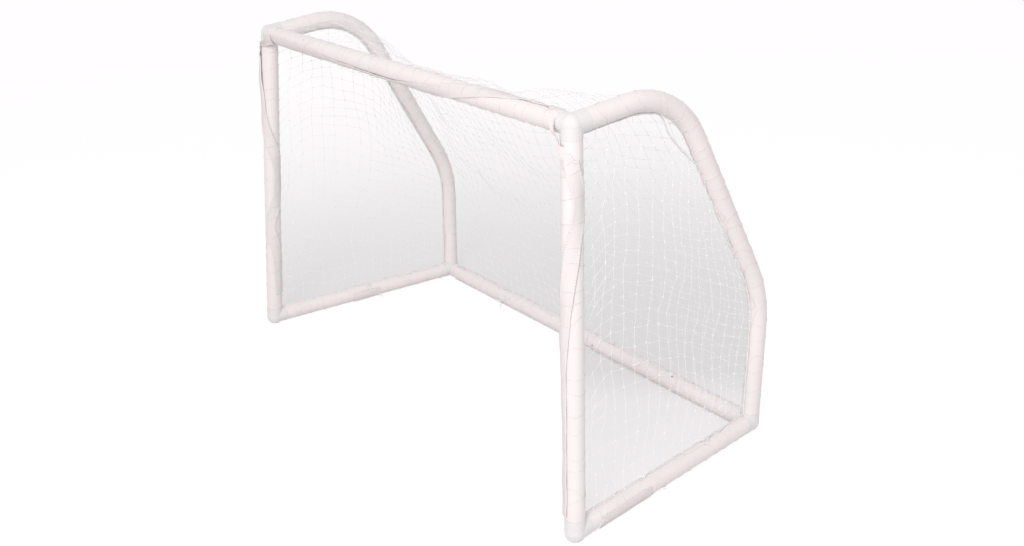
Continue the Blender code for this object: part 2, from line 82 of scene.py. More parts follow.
# How far inside a tube's axis the nets' outer edges, the side nets at the arm, and their ropes lie
EDGE_INSET = 0.0326
SIDE_NET_INSET = 0.0350
ROPE_INSET = 0.0336
# The side nets: flat size, how far along the arm the top edge runs, height of the rows' arch, and the share
# of the depth at which it is highest
SIDE_NET_SIZE = (0.82, 1.16)
SIDE_NET_TURN = 0.74
SIDE_NET_ARCH = 0.105
SIDE_NET_CROWN = 0.22
# The net from arm to arm: shares of its rows at which roof and slope end, and the power of its draw-in
ROOF_END = 0.245
SLOPE_END = 0.697
DRAW_POWER = 1.3
# How far the knots wander, in long waves and singly
KNOT_WANDER = 0.009
KNOT_SCATTER = 0.002
# Bands: distance between rings, how far the middle stands off the tube, half the thickness, what a bead adds,
# the least gap to the tube, and how many degrees low the rails' bands lie
BAND_STEP = 0.002
BAND_SEAT = 0.0012
BAND_SKIN = 0.00045
BAND_BEAD = 0.0010
BAND_GAP = 0.0003
RAIL_BAND_DIP = 13.0
# Cords: one turn of a rope's strands, the rear rope's gap to the floor, the lacing's height over the tube,
# the length that it leaves bare at the ends of a straight tube and of an arm, the ties' sizes, and the least
# height over the floor
ROPE_LAY = 0.020
ROPE_GAP = 0.0003
LACING_SEAT = 0.0008
LACING_MARGIN = 0.012
ARM_MARGINS = (0.050, 0.045)
KNOT_SIZE = 0.0014
KNOT_RADIUS = 0.0012
TIE_RADIUS = 0.0009
TIE_STAND = 0.004
FLOOR_GAP = 0.0004

# Bands: share of the bare tube, angle of the middle in degrees, lift of one edge, the middle and the other
CROSSBAR_BAND = [
    (0.010, 20, 0.000, 0.000, 0.000), (0.157, 33, 0.000, 0.000, 0.001), (0.300, 63, 0.001, 0.002, 0.004),
    (0.497, 80, 0.002, 0.004, 0.007), (0.616, 50, 0.001, 0.002, 0.003), (0.700, 5, 0.000, 0.000, 0.001),
    (0.748, -28, 0.000, 0.000, 0.001), (0.807, -62, 0.000, 0.000, 0.000), (0.855, -89, 0.000, 0.000, 0.000),
    (0.909, -122, 0.000, 0.000, 0.001), (0.975, -126, 0.001, 0.000, 0.001)]
LEFT_POST_BAND = [
    (0.060, 118, 0.000, 0.000, 0.001), (0.239, 100, 0.000, 0.000, 0.001), (0.331, 30, 0.001, 0.000, 0.001),
    (0.441, 110, 0.001, 0.000, 0.001), (0.551, 118, 0.000, 0.000, 0.001), (0.580, 110, 0.001, 0.000, 0.001),
    (0.618, 92, 0.001, 0.001, 0.002), (0.654, 50, 0.002, 0.001, 0.002), (0.700, 22, 0.002, 0.001, 0.002),
    (0.737, 2, 0.003, 0.002, 0.002), (0.765, -10, 0.004, 0.003, 0.001), (0.815, -20, 0.006, 0.005, 0.001),
    (0.857, -41, 0.008, 0.011, 0.002), (0.930, -65, 0.010, 0.014, 0.003), (0.960, -67, 0.010, 0.012, 0.004)]
RIGHT_POST_BAND = [
    (0.012, -38, 0.008, 0.004, 0.001), (0.038, -38, 0.009, 0.004, 0.001), (0.052, -32, 0.001, 0.000, 0.001),
    (0.068, -34, 0.008, 0.003, 0.001), (0.115, -38, 0.011, 0.005, 0.001), (0.150, -34, 0.002, 0.001, 0.001),
    (0.250, -32, 0.005, 0.002, 0.001), (0.423, -30, 0.006, 0.004, 0.001), (0.500, -16, 0.009, 0.004, 0.001),
    (0.545, -6, 0.002, 0.001, 0.001), (0.634, 20, 0.005, 0.001, 0.002), (0.698, 40, 0.005, 0.001, 0.001),
    (0.753, 58, 0.005, 0.001, 0.001), (0.818, 94, 0.004, 0.000, 0.001), (0.863, 100, 0.004, 0.000, 0.001),
    (0.928, 60, 0.005, 0.000, 0.001), (0.955, 37, 0.002, 0.000, 0.001)]
RIGHT_RAIL_BAND = [(0.046, 0, 0.001, 0.000, 0.000), (0.344, 0, 0.001, 0.000, 0.000)]
LEFT_RAIL_BAND = [(0.436, 0, 0.001, 0.000, 0.000), (0.599, 0, 0.001, 0.000, 0.000)]
# Where the right side net's edge rope hangs clear of the upper bend: from the mouth, and up
LOOSE_ROPE = [
    (0.303, 1.162), (0.325, 1.129), (0.345, 1.088), (0.368, 1.060), (0.403, 1.026), (0.439, 0.991),
    (0.467, 0.964)]
# Ties: ends of the tube, where angles start, how far along it, angle in degrees, size of the bow
TIES = [
    (LEFT_TOP, LEFT_FOOT, FRONT, 0.50, 115, 0.016), (LEFT_TOP, LEFT_FOOT, FRONT, 0.70, 115, 0.018),
    (LEFT_FOOT, LEFT_REAR, RIGHT, 0.42, -35, 0.022), (LEFT_FOOT, LEFT_REAR, RIGHT, 0.46, 30, 0.020),
    (LEFT_REAR, REAR, FRONT, 0.47, -30, 0.018), (LEFT_REAR, REAR, FRONT, 0.42, 20, 0.022),
    (FOOT, REAR, RIGHT, 0.30, -100, 0.016), (FOOT, REAR, RIGHT, 0.58, -100, 0.020),
    (FOOT, REAR, RIGHT, 0.36, 35, 0.014), (LEFT_REAR, REAR, FRONT, 1.26, -50, 0.016)]
# Bands over the top corners, from the crossbar's band to the post's, seen from the corner: place, way across,
# share of the full width, how far it bends round the tube
RIGHT_WRAP = [
    ((-0.088, 0.0197, 0.0277), (0.0, 0.81, -0.58), 1.0, 1.0),
    ((-0.064, 0.0115, 0.032), (0.2, 0.9, -0.3), 1.0, 1.0),
    ((-0.049, -0.006, 0.0335), (0.7, 0.68, 0.18), 0.85, 0.5),
    ((-0.044, -0.027, 0.02), (0.95, 0.17, 0.25), 0.6, 0.0),
    ((-0.04, -0.0345, 0.0), (1.0, 0.0, 0.0), 0.45, 0.0),
    ((-0.035, -0.0325, -0.02), (0.9, -0.3, 0.3), 0.34, 0.0),
    ((-0.027, -0.0255, -0.037), (0.75, -0.65, 0.1), 0.34, 0.3),
    ((-0.0155, -0.0325, -0.052), (0.82, -0.57, 0.0), 0.5, 0.8),
    ((0.0104, -0.0402, -0.075), (0.99, 0.14, 0.0), 0.85, 1.0),
    ((0.0284, -0.0355, -0.097), (0.79, 0.62, 0.0), 1.0, 1.0)]
LEFT_WRAP = [
    ((0.085, -0.0325, -0.012), (0.0, -0.34, 0.94), 1.0, 1.0),
    ((0.056, -0.032, -0.0165), (0.2, -0.4, 0.9), 0.8, 0.8),
    ((0.032, -0.0345, -0.026), (0.1, -0.2, 0.97), 0.5, 0.3),
    ((0.003, -0.0385, -0.033), (0.0, -0.1, 0.99), 0.34, 0.0),
    ((-0.021, -0.033, -0.035), (0.0, 0.0, 1.0), 0.34, 0.0),
    ((-0.034, -0.0235, -0.04), (-0.2, 0.3, 0.95), 0.4, 0.0),
    ((-0.04, -0.02, -0.06), (-0.3, 0.75, 0.55), 0.6, 0.6),
    ((-0.0435, -0.023, -0.084), (-0.39, 0.92, 0.0), 0.9, 1.0)]
# The cord that came loose in front of the rear bar, tied to it at both ends: across, back from the mouth, up
LOOSE_CORD = [
    (0.061, 0.6915, 0.0105), (0.072, 0.6935, 0.0050), (0.090, 0.696, 0.0012), (0.183, 0.682, 0.0012),
    (0.281, 0.679, 0.0012), (0.377, 0.680, 0.0012), (0.484, 0.683, 0.0012), (0.598, 0.684, 0.0012),
    (0.700, 0.689, 0.0012), (0.716, 0.6905, 0.0050), (0.727, 0.6915, 0.0105)]
# The straight tubes: their ends, and how far the corner's collar reaches past its knob at each
TUBES = {
    "crossbar": (LEFT_TOP, TOP, 0.0152, 0.0152),
    "left_post": (LEFT_FOOT, LEFT_TOP, 0.0082, 0.0072),
    "right_post": (FOOT, TOP, 0.0082, 0.0072),
    "right_base_rail": (FOOT, REAR, 0.0142, 0.0062),
    "left_base_rail": (LEFT_FOOT, LEFT_REAR, 0.0142, 0.0062),
    "rear_bar": (LEFT_REAR, REAR, 0.0062, 0.0062)}
# Lacing: tube, where angles start, and the angle in radians at which the cord runs on to the next turn
LACING = [
    ("crossbar", FRONT, -2.4), ("left_post", FRONT, 3.1), ("right_post", FRONT, 3.1),
    ("right_base_rail", RIGHT, -1.6), ("left_base_rail", RIGHT, -1.6), ("rear_bar", FRONT, -1.6)]
ARM_LACING = 1.5

# The studio: where the lamp points, the floor's own light (its share, and green and blue against red, a tint
# that shows where the painted shade darkens the floor below white), the floor's grid, how far outside its
# outline the painted shade on the floor starts and how wide its edge is, and its depth at distances from the
# camera
LAMP_AIM = np.array([0.0, 0.0, 0.5])
FLOOR_SHARE = 0.75
FLOOR_TINT = (0.968, 0.985)
FLOOR_STEP = 0.025
PAINTED_SHADE_START = 0.015
PAINTED_SHADE_EDGE = 0.05
PAINTED_SHADE_DEPTH = [(3.1, 0.20), (3.5, 0.24), (3.75, 0.365), (4.4, 0.335), (5.0, 0.285), (5.6, 0.21), (6.2, 0.13),
               (7.0, 0.065), (9.0, 0.0)]


# Shapes

def unit(v):
    return v / np.linalg.norm(v, axis=-1, keepdims=True)


def rounded(points, radii, step=math.radians(3.0)):
    """A polyline whose inner corners are arcs of the given radii, a point every step of turn."""
    line = [points[0]]
    for before, corner, after, radius in zip(points, points[1:], points[2:], radii):
        into, out = unit(corner - before), unit(after - corner)
        turn = math.acos(float(np.clip(into @ out, -1.0, 1.0)))
        inward = unit(out - into * (out @ into))
        start = corner - into * radius * math.tan(turn / 2)
        angle = np.linspace(0.0, turn, max(3, math.ceil(turn / step)))[:, None]
        line.extend(start + radius * (inward * (1 - np.cos(angle)) + into * np.sin(angle)))
    line.append(points[-1])
    return np.array(line)


def travelled(line):
    """How far along a line each of its points is."""
    return np.concatenate([[0.0], np.cumsum(np.linalg.norm(np.diff(line, axis=0), axis=1))])


def spot(line, far):
    """Places far metres along a line."""
    done = travelled(line)
    return np.stack([np.interp(far, done, line[:, k]) for k in range(3)], axis=-1)


def along(line, shares):
    """Places at shares of a line's length."""
    return spot(line, np.asarray(shares) * travelled(line)[-1])


def on_tube(line, reference, far, angle, radius):
    """Places on a tube: far metres along its axis line, at an angle from the reference, radius from the axis.
    The axis point plus radius times (cos angle, sin angle) on two directions square to the tangent."""
    step = 0.004
    tangent = unit(spot(line, far + step) - spot(line, far - step))
    first = unit(reference - (tangent @ reference)[..., None] * tangent)
    second = np.cross(tangent, first)
    angle, radius = np.asarray(angle)[..., None], np.asarray(radius)[..., None]
    return spot(line, far) + radius * (np.cos(angle) * first + np.sin(angle) * second)


def sweep(paths, radii, sides, lean=None):
    """Round cords along many paths at once: around each path point, a ring of sides points at its radius.
    paths is (cords, points, 3). Returns the surface as (places, faces, uv), closed at both ends."""
    paths = np.asarray(paths, float)
    cords, points = paths.shape[:2]
    tangent = unit(np.gradient(paths, axis=1))
    if lean is None:
        mean = np.abs(tangent).mean(axis=1)
        lean = np.eye(3)[mean.argmin(axis=1)][:, None, :] * np.ones((1, points, 1))
    first = unit(lean - (lean * tangent).sum(-1, keepdims=True) * tangent)
    second = np.cross(tangent, first)
    angle = 2 * np.pi * np.arange(sides) / sides
    spread = np.broadcast_to(np.asarray(radii, float), (cords, points))[:, :, None, None]
    ring = np.cos(angle)[:, None] * first[:, :, None] + np.sin(angle)[:, None] * second[:, :, None]
    places = (paths[:, :, None] + spread * ring).reshape(-1, 3)
    index = np.arange(cords * points * sides).reshape(cords, points, sides)
    a, b = index[:, :-1], np.roll(index, -1, axis=2)[:, :-1]
    c, d = np.roll(index, -1, axis=2)[:, 1:], index[:, 1:]
    quads = np.stack([a, b, c, d], axis=-1).reshape(-1, 4)
    run = np.concatenate([np.zeros((cords, 1)),
                          np.cumsum(np.linalg.norm(np.diff(paths, axis=1), axis=2), axis=1)], axis=1)
    u = np.broadcast_to(run[:, :, None], (cords, points, sides))
    v = np.broadcast_to(np.arange(sides) / sides, (cords, points, sides))
    round_v = v + 1.0 / sides
    uv = np.stack([np.stack([u[:, :-1], v[:, :-1]], -1), np.stack([u[:, :-1], round_v[:, :-1]], -1),
                   np.stack([u[:, 1:], round_v[:, 1:]], -1), np.stack([u[:, 1:], v[:, 1:]], -1)],
                  axis=-2).reshape(-1, 4, 2)
    caps = np.concatenate([index[:, 0, ::-1], index[:, -1]])
    return places, [quads, caps], [uv, np.zeros(caps.shape + (2,))]


def strip(rings, uv):
    """A closed skin through rings of points, (rings, points round, 3), with both ends closed. uv is per
    point."""
    count, sides = rings.shape[:2]
    index = np.arange(count * sides).reshape(count, sides)
    right = np.roll(index, -1, axis=1)
    quads = np.stack([index[:-1], right[:-1], right[1:], index[1:]], axis=-1).reshape(-1, 4)
    caps = np.stack([index[0, ::-1], index[-1]])
    flat = uv.reshape(-1, 2)
    return rings.reshape(-1, 3), [quads, caps], [flat[quads], flat[caps]]


def piece(name, surfaces, material, replaces=()):
    """Makes one object out of surfaces, each (places, faces, uv), and puts it on the body."""
    places, loops, starts, totals, uvs, shift, done = [], [], [], [], [], 0, 0
    for spots, faces, uv in surfaces:
        places.append(spots)
        for group, chart in zip(faces, uv):
            loops.append((group + shift).ravel())
            starts.append(done + np.arange(len(group)) * group.shape[1])
            totals.append(np.full(len(group), group.shape[1]))
            uvs.append(chart.reshape(-1, 2))
            done += group.size
        shift += len(spots)
    places, loops, starts = np.concatenate(places), np.concatenate(loops), np.concatenate(starts)
    mesh = bpy.data.meshes.new(name)
    mesh.vertices.add(len(places))
    mesh.vertices.foreach_set("co", places.astype(np.float32).ravel())
    mesh.loops.add(len(loops))
    mesh.loops.foreach_set("vertex_index", loops.astype(np.int32))
    mesh.polygons.add(len(starts))
    mesh.polygons.foreach_set("loop_start", starts.astype(np.int32))
    mesh.polygons.foreach_set("loop_total", np.concatenate(totals).astype(np.int32))
    mesh.polygons.foreach_set("use_smooth", np.ones(len(starts), bool))
    mesh.update(calc_edges=True)
    layer = mesh.uv_layers.new(name="run")
    layer.data.foreach_set("uv", np.concatenate(uvs).astype(np.float32).ravel())
    mesh.validate()
    mesh.materials.append(material)
    item = bpy.data.objects.new(name, mesh)
    bpy.context.scene.collection.objects.link(item)
    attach(item, ALL)
    if replaces:
        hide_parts(*replaces)
    return item


def wander(places, seed, amount, reach):
    """A smooth random shift of each place, up to about amount: a sum of sine waves about reach long."""
    rng = np.random.default_rng(seed)
    waves = unit(rng.normal(size=(3, 5, 3))) * rng.uniform(0.7, 1.6, (3, 5, 1)) * 2 * np.pi / reach
    phase = rng.uniform(0, 2 * np.pi, (3, 5))
    shift = np.sin(np.einsum("...k,adk->...ad", places, waves) + phase).sum(-1)
    return amount * shift / 2.2


# Frame lines

def bare(name):
    """The two ends of a straight tube's bare stretch between its corners."""
    start, end, *lips = TUBES[name]
    way = unit(end - start)
    return np.array([start + way * (KNOB_RADIUS + lips[0]), end - way * (KNOB_RADIUS + lips[1])])


def on_side(places, side):
    """Places of the right-hand side, mirrored where side is -1."""
    return places * MIRROR if side < 0 else places


def arm_line(side):
    return on_side(rounded([TOP, CREST, KNEE, REAR], [CREST_BEND, KNEE_BEND]), side)


def outline(insets):
    """Corners of a side's outline, seen from the side, drawn in by one inset for each edge."""
    corners = np.array([FOOT, TOP, CREST, KNEE, REAR])[:, 1:]
    ends = np.roll(corners, -1, axis=0)
    run = unit(ends - corners)
    inward = np.stack([run[:, 1], -run[:, 0]], axis=1)
    base = corners + inward * np.asarray(insets)[:, None]
    drawn = []
    for i in range(5):
        a, u, b, v = base[i - 1], run[i - 1], base[i], run[i]
        share = np.cross(b - a, v) / np.cross(u, v)
        drawn.append(a + u * share)
    return [np.array([HALF_WIDTH, y, z]) for y, z in drawn]


def arm_inside(inset, loose):
    """A line inside the arm, and the outline's corner at the foot. A loose line leaves the arm at the upper
    bend, through the places of LOOSE_ROPE."""
    foot, top, crest, knee, rear = outline([EDGE_INSET, inset, inset, inset, EDGE_INSET])
    line = rounded([top, crest, knee, rear], [CREST_BEND - inset, KNEE_BEND - inset])
    if loose:
        gap = np.array([(HALF_WIDTH, MOUTH_Y + y, z) for y, z in LOOSE_ROPE])
        first, last = (np.linalg.norm(line - end, axis=1).argmin() for end in (gap[0], gap[-1]))
        line = along(np.concatenate([line[:first], gap, line[last + 1:]]), np.linspace(0, 1, 400))
        line = np.stack([smooth(line[:, k], 4) for k in range(3)], axis=1)
    return line, foot


def splay(places):
    """How far outside the arm's plane a side net lies: flat through the post and the rail."""
    post, back = (FOOT - TOP)[1:], (REAR - TOP)[1:]
    y, z = places[..., 1] - TOP[1], places[..., 2] - TOP[2]
    share = (y * back[1] - z * back[0]) / (post[0] * back[1] - post[1] * back[0])
    return FOOT_SPLAY * np.maximum(share, 0.0)


# Materials

class Signal:
    """An output socket. Arithmetic on it adds Math nodes."""

    def __init__(self, finish, socket):
        self.finish, self.socket = finish, socket

    def maths(self, operation, first, second):
        return self.finish.node("ShaderNodeMath", {0: first, 1: second}, operation=operation)

    def __add__(self, other):
        return self.maths("ADD", self, other)

    __radd__ = __add__

    def __rsub__(self, other):
        return self.maths("SUBTRACT", other, self)

    def __mul__(self, other):
        return self.maths("MULTIPLY", self, other)

    __rmul__ = __mul__


class Nodes:
    """A node tree to add nodes to."""

    def __init__(self, owner):
        owner.use_nodes = True
        self.tree = owner.node_tree

    def node(self, kind, inputs=(), out=0, **settings):
        """Adds a node: settings first, then the values or links of its sockets."""
        node = self.tree.nodes.new(kind)
        for key, value in settings.items():
            setattr(node, key, value)
        for key, value in dict(inputs).items():
            if isinstance(value, Signal):
                self.tree.links.new(value.socket, node.inputs[key])
            else:
                node.inputs[key].default_value = value
        return Signal(self, node.outputs[out])

    def seen(self):
        """1 where the camera looks, straight on, by a reflection or through glass, and 0 for other light."""
        rays = ("Is Camera Ray", "Is Glossy Ray", "Is Transmission Ray")
        camera, glossy, passing = (self.node("ShaderNodeLightPath", out=ray) for ray in rays)
        return camera + glossy + passing


class Finish(Nodes):
    """One material and its nodes."""

    def __init__(self, name, roughness):
        self.material = bpy.data.materials.new(name)
        super().__init__(self.material)
        self.shader = self.tree.nodes["Principled BSDF"]
        self.put("Roughness", roughness)

    def put(self, socket, value):
        """Sets a socket of the shader, or links it."""
        if isinstance(value, Signal):
            self.tree.links.new(value.socket, self.shader.inputs[socket])
        else:
            self.shader.inputs[socket].default_value = value

    def place(self):
        return self.node("ShaderNodeTexCoord", out=3)

    def chart(self, part):
        """One coordinate of the piece's own UV map: 0 along it, 1 across or round it."""
        uv = self.node("ShaderNodeTexCoord", out=2)
        return self.node("ShaderNodeSeparateXYZ", {0: uv}, out=part)

    def noise(self, scale, detail=2.0, stretch=None):
        vector = self.place()
        if stretch:
            vector = self.node("ShaderNodeMapping", {"Vector": vector, "Scale": stretch})
        return self.node("ShaderNodeTexNoise", {"Vector": vector, "Scale": scale, "Detail": detail})

    def range(self, value, low, high):
        """0 at low, 1 at high, and straight between them."""
        return self.node("ShaderNodeMapRange", {"Value": value, "From Min": low, "From Max": high})

    def sine(self, value):
        return self.node("ShaderNodeMath", {0: value}, operation="SINE")

    def mix(self, factor, first, second):
        return self.node("ShaderNodeMix", {0: factor, 6: first, 7: second}, out=2, data_type="RGBA")

    def bump(self, height, distance, strength=1.0):
        self.put("Normal", self.node("ShaderNodeBump",
                                     {"Height": height, "Distance": distance, "Strength": strength}))


def tinted(colour, shade):
    """A colour made darker or lighter by a factor, with its opacity."""
    return (*(min(1.0, channel * shade) for channel in colour), 1.0)


def tube_finish(name, colour, roughness):
    """Extruded plastic: faint cloudiness, a slight grain, a few scuffs and some floor grime low down."""
    finish = Finish(name, roughness)
    cloud = finish.noise(6.0, 3.0)
    scuff = finish.range(finish.noise(34.0, 6.0, stretch=(1.0, 1.0, 0.25)), 0.66, 0.74)
    height = finish.node("ShaderNodeSeparateXYZ", {0: finish.place()}, out=2)
    low = finish.range(height, 0.16, 0.0) * finish.range(finish.noise(18.0, 5.0), 0.42, 0.72)
    base = finish.mix(cloud, tinted(colour, 0.975), tinted(colour, 1.015))
    base = finish.mix(scuff * 0.25, base, tinted(colour, 0.86))
    finish.put("Base Color", finish.mix(low * 0.08, base, (0.52, 0.49, 0.46, 1.0)))
    finish.put("Roughness", roughness - 0.05 + finish.noise(90.0, 2.0) * 0.10 + scuff * 0.12)
    finish.bump(finish.noise(420.0, 2.0) + cloud * 2.0, 0.00012, 0.5)
    return finish.material


def corner_finish(name, colour, roughness):
    """Moulded plastic: smoother and cooler than the tubes, with a faint flow pattern."""
    finish = Finish(name, roughness)
    flow = finish.noise(22.0, 4.0)
    scuff = finish.range(finish.noise(60.0, 6.0), 0.66, 0.76)
    base = finish.mix(flow, tinted(colour, 0.975), tinted(colour, 1.01))
    finish.put("Base Color", finish.mix(scuff * 0.3, base, tinted(colour, 0.82)))
    finish.put("Roughness", roughness + finish.noise(140.0) * 0.06 + scuff * 0.2)
    finish.bump(flow + finish.noise(700.0) * 0.15, 0.0002, 0.4)
    return finish.material


def twine_finish(name, colour, lay, strands, groove_shade):
    """Twisted cord: strands wind round it once every lay metres, with painted shade in the grooves between
    them.
    """
    finish = Finish(name, 0.72)
    turn = (finish.chart(0) * (1.0 / lay) + finish.chart(1)) * (2 * math.pi * strands)
    groove = finish.range(finish.sine(turn), -1.0, 0.0)
    fibre = finish.noise(900.0, 2.0)
    # Painted shade: the colour is darkened in the grooves between the strands, by the factor given last
    base = finish.mix(groove, tinted(colour, groove_shade), tinted(colour, 1.0))
    finish.put("Base Color", finish.mix(fibre * 0.2, base, tinted(colour, 0.93)))
    finish.put("Roughness", 0.62 + fibre * 0.2)
    finish.bump(groove + fibre * 0.3, 0.0001, 0.3)
    return finish.material


def band_finish(name, colour, stitch):
    """Knitted braid: rows of stitches along it, ribs across it, and a stitched selvedge at both edges, with a
    painted highlight on its lumps and painted shade between them.
    """
    finish = Finish(name, 0.80)
    run, across = finish.chart(0), finish.chart(1)
    ribs = finish.sine(across * (2 * math.pi / stitch))
    rows = finish.sine(run * (2 * math.pi / (stitch * 0.8)) + ribs * 0.9)
    knit = finish.range(ribs * 0.6 + rows * 0.6, -1.0, 1.0)
    cloud = finish.noise(14.0, 3.0)
    base = finish.mix(knit, tinted(colour, 0.90), tinted(colour, 1.01))
    edge = finish.range(finish.node("ShaderNodeMath", {0: across}, operation="ABSOLUTE"), 0.0150, 0.0170)
    # Selvedge: a painted highlight on each lump and painted shade in the ground between the lumps
    selvedge_light = finish.sine(run * (1 / 0.0011) + across * 400.0 + finish.noise(60.0) * 9.0)
    selvedge_light = finish.range(selvedge_light, -1.0, 1.0)
    base = finish.mix(edge * (1.0 - selvedge_light) * 0.5, base, tinted(colour, 0.78))
    base = finish.mix(edge * selvedge_light * 0.5, base, tinted(colour, 1.08))
    finish.put("Base Color", finish.mix(cloud * 0.35, base, tinted(colour, 0.94)))
    finish.put("Roughness", 0.70 + cloud * 0.2)
    finish.bump(knit + finish.noise(800.0) * 0.2, 0.0004, 0.6)
    return finish.material


# Nets

def between(knots, steps, slack, seed):
    """Fine paths through rows of knots: straight from knot to knot, plus a sag and a small sideways bow that
    both follow 4t(1 - t), so they vanish at the knots. knots is (rows, knots, 3)."""
    rng = np.random.default_rng(seed)
    t = np.arange(steps)[None, None, :, None] / steps
    start, end = knots[:, :-1, None], knots[:, 1:, None]
    hump = 4 * t * (1 - t)
    length = np.linalg.norm(end - start, axis=-1, keepdims=True)
    bow = rng.normal(size=start.shape) * 0.35
    bow[..., 2] = -np.abs(bow[..., 2]) - 0.6
    fine = start + t * (end - start) + hump * bow * slack * length
    rows = fine.reshape(len(knots), -1, 3)
    return np.concatenate([rows, knots[:, -1:]], axis=1)


def knot_lumps(knots, radius, seed):
    """A small lump at each knot: a short four-ring cord with narrow ends, turned at random."""
    rng = np.random.default_rng(seed)
    flat = knots.reshape(-1, 3)
    way = unit(rng.normal(size=flat.shape) + np.array([0.0, 0.3, 1.2]))
    reach = np.array([-1.25, -0.55, 0.55, 1.25]) * radius
    size = rng.uniform(0.85, 1.2, (len(flat), 1))
    paths = flat[:, None] + reach[None, :, None] * way[:, None] * size[..., None]
    return sweep(paths, np.array([0.45, 1.0, 1.0, 0.45]) * radius * size, 6)


def net(name, knots, cord, material, seed, slack, first_row=True):
    """A knotted net on a grid of knot places, (rows, columns, 3), for the node that it is named after. Inner
    knots wander a little. The first row is left out where it is the last one of the panel above."""
    inner = np.ones(knots.shape[:2] + (1,))
    inner[0], inner[-1], inner[:, 0], inner[:, -1] = 0, 0, 0, 0
    rng = np.random.default_rng(seed)
    single = rng.normal(size=knots.shape) * KNOT_SCATTER
    knots = knots + inner * (wander(knots, seed, KNOT_WANDER, 0.30) + single)
    rows = knots if first_row else knots[1:]
    surfaces = [sweep(between(rows, 4, slack, seed + 1), cord / 2, 6),
                sweep(between(knots.transpose(1, 0, 2), 4, slack * 0.6, seed + 2), cord / 2, 6),
                knot_lumps(rows, cord * 1.9, seed + 3)]
    piece(name + "_knotted", surfaces, material, [name])


def side_knots(side, pitch):
    """Knots of a side net: a patch blended between its four edges, as the sum of the two straight blends less
    that of its corners. Its top edge runs round the upper bend and some way down the slope, so the rows arch
    over and come down towards the back, by a wave of the height times a hump of the depth."""
    inside, foot = arm_inside(SIDE_NET_INSET, side > 0)
    turn = SIDE_NET_TURN / travelled(inside)[-1]
    columns, rows = (round(size / pitch) for size in SIDE_NET_SIZE)
    u, v = np.linspace(0, 1, columns + 1), np.linspace(0, 1, rows + 1)
    bottom, top = along(np.array([foot, inside[-1]]), u), along(inside, turn * u)
    left, right = along(np.array([foot, inside[0]]), v), along(inside, 1 - (1 - turn) * v)
    u, v = u[None, :, None], v[:, None, None]
    corners = ((1 - u) * (1 - v) * bottom[0] + u * (1 - v) * bottom[-1]
               + (1 - u) * v * top[0] + u * v * top[-1])
    knots = (1 - v) * bottom + v * top + (1 - u) * left[:, None] + u * right[:, None] - corners
    arch = (SIDE_NET_ARCH * np.sin(math.pi * v) * u / SIDE_NET_CROWN
            * np.exp(1 - u / SIDE_NET_CROWN) * (1 - u))
    knots[..., 2] += arch[..., 0]
    knots[..., 0] = HALF_WIDTH + splay(knots)
    return on_side(knots, side)


def span_knots(pitch, draw):
    """Knots of the net that spans from arm to arm. It leaves the arms' line at mid-span and draws in towards
    the straight line from crossbar to rear bar: by draw times (1 - across squared) to the power."""
    line = arm_line(1)
    length = travelled(line)[-1]
    rows, half = round((length - 2 * EDGE_INSET) / pitch), HALF_WIDTH - EDGE_INSET
    shares = np.linspace(EDGE_INSET / length, 1 - EDGE_INSET / length, rows + 1)
    across = np.linspace(-1, 1, round(2 * half / pitch) + 1)
    profile = along(line, shares)
    straight = profile[0] + np.linspace(0, 1, rows + 1)[:, None] * (profile[-1] - profile[0])
    pull = draw * (1 - across ** 2) ** DRAW_POWER
    knots = profile[:, None] + pull[None, :, None] * (straight - profile)[:, None]
    knots[..., 0] = half * across
    return knots


# Ropes, lacing and bands

def twisted(path, radius, lay, strands=3):
    """A laid rope: each strand winds round the path once every lay metres."""
    length = travelled(path)[-1]
    far = np.linspace(0, length, max(8, round(length / (lay / 9))))
    core = spot(path, far)
    tangent = unit(np.gradient(core, axis=0))
    lean = np.eye(3)[np.abs(tangent).mean(axis=0).argmin()]
    first = unit(lean - (tangent @ lean)[:, None] * tangent)
    second = np.cross(tangent, first)
    surfaces = []
    for k in range(strands):
        angle = (2 * np.pi * (far / lay + k / strands))[:, None]
        offset = radius * 0.52 * (np.cos(angle) * first + np.sin(angle) * second)
        surfaces.append(sweep((core + offset)[None], radius * 0.54, 6, lean=offset[None]))
    return surfaces


def laid(name, path, radius, material):
    """A rope of three strands, for the node that it is named after."""
    piece(name + "_laid", twisted(path, radius, ROPE_LAY), material, [name])


def smooth(values, width):
    """A running mean, repeated twice, that keeps the ends."""
    for _ in range(2):
        padded = np.concatenate([np.full(width, values[0]), values, np.full(width, values[-1])])
        values = np.convolve(padded, np.ones(2 * width + 1) / (2 * width + 1), "valid")
    return values


class BandRoute:
    """Where a band lies on a straight tube: angle and lift as functions of the distance along it."""

    def __init__(self, line, reference, stations, width):
        self.line, self.reference, self.width = line, reference, width
        length = float(np.linalg.norm(self.line[1] - self.line[0]))
        columns = np.array(stations, float).T
        self.far = np.arange(columns[0, 0] * length, columns[0, -1] * length, BAND_STEP)
        values = [smooth(np.interp(self.far / length, columns[0], column), 14) for column in columns[1:]]
        self.angle, self.lifts = np.radians(values[0]), np.stack(values[1:])
        self.spread = width / (TUBE_RADIUS + BAND_SEAT)

    def lift(self, index, across):
        """Lift at across from -0.5 to 0.5: a parabola through the two edges and the middle."""
        low, middle, high = (self.lifts[k][index] for k in range(3))
        return middle + (high - low) * across + 2 * (high + low - 2 * middle) * across ** 2

    def cover(self, far, angle):
        """How high a cord over the band stands off the tube at a place: nothing beside the band."""
        middle = np.interp(far, self.far, self.angle)
        away = np.abs((angle - middle + np.pi) % (2 * np.pi) - np.pi) / self.spread
        there = (far > self.far[0] - 2 * BAND_STEP) & (far < self.far[-1] + 2 * BAND_STEP)
        index = np.clip(((far - self.far[0]) / BAND_STEP).round().astype(int), 0, len(self.far) - 1)
        across = np.clip((angle - middle) / self.spread, -0.5, 0.5)
        return np.where(there, np.clip((0.62 - away) / 0.12, 0, 1) * (self.lift(index, across) + 0.0022), 0.0)


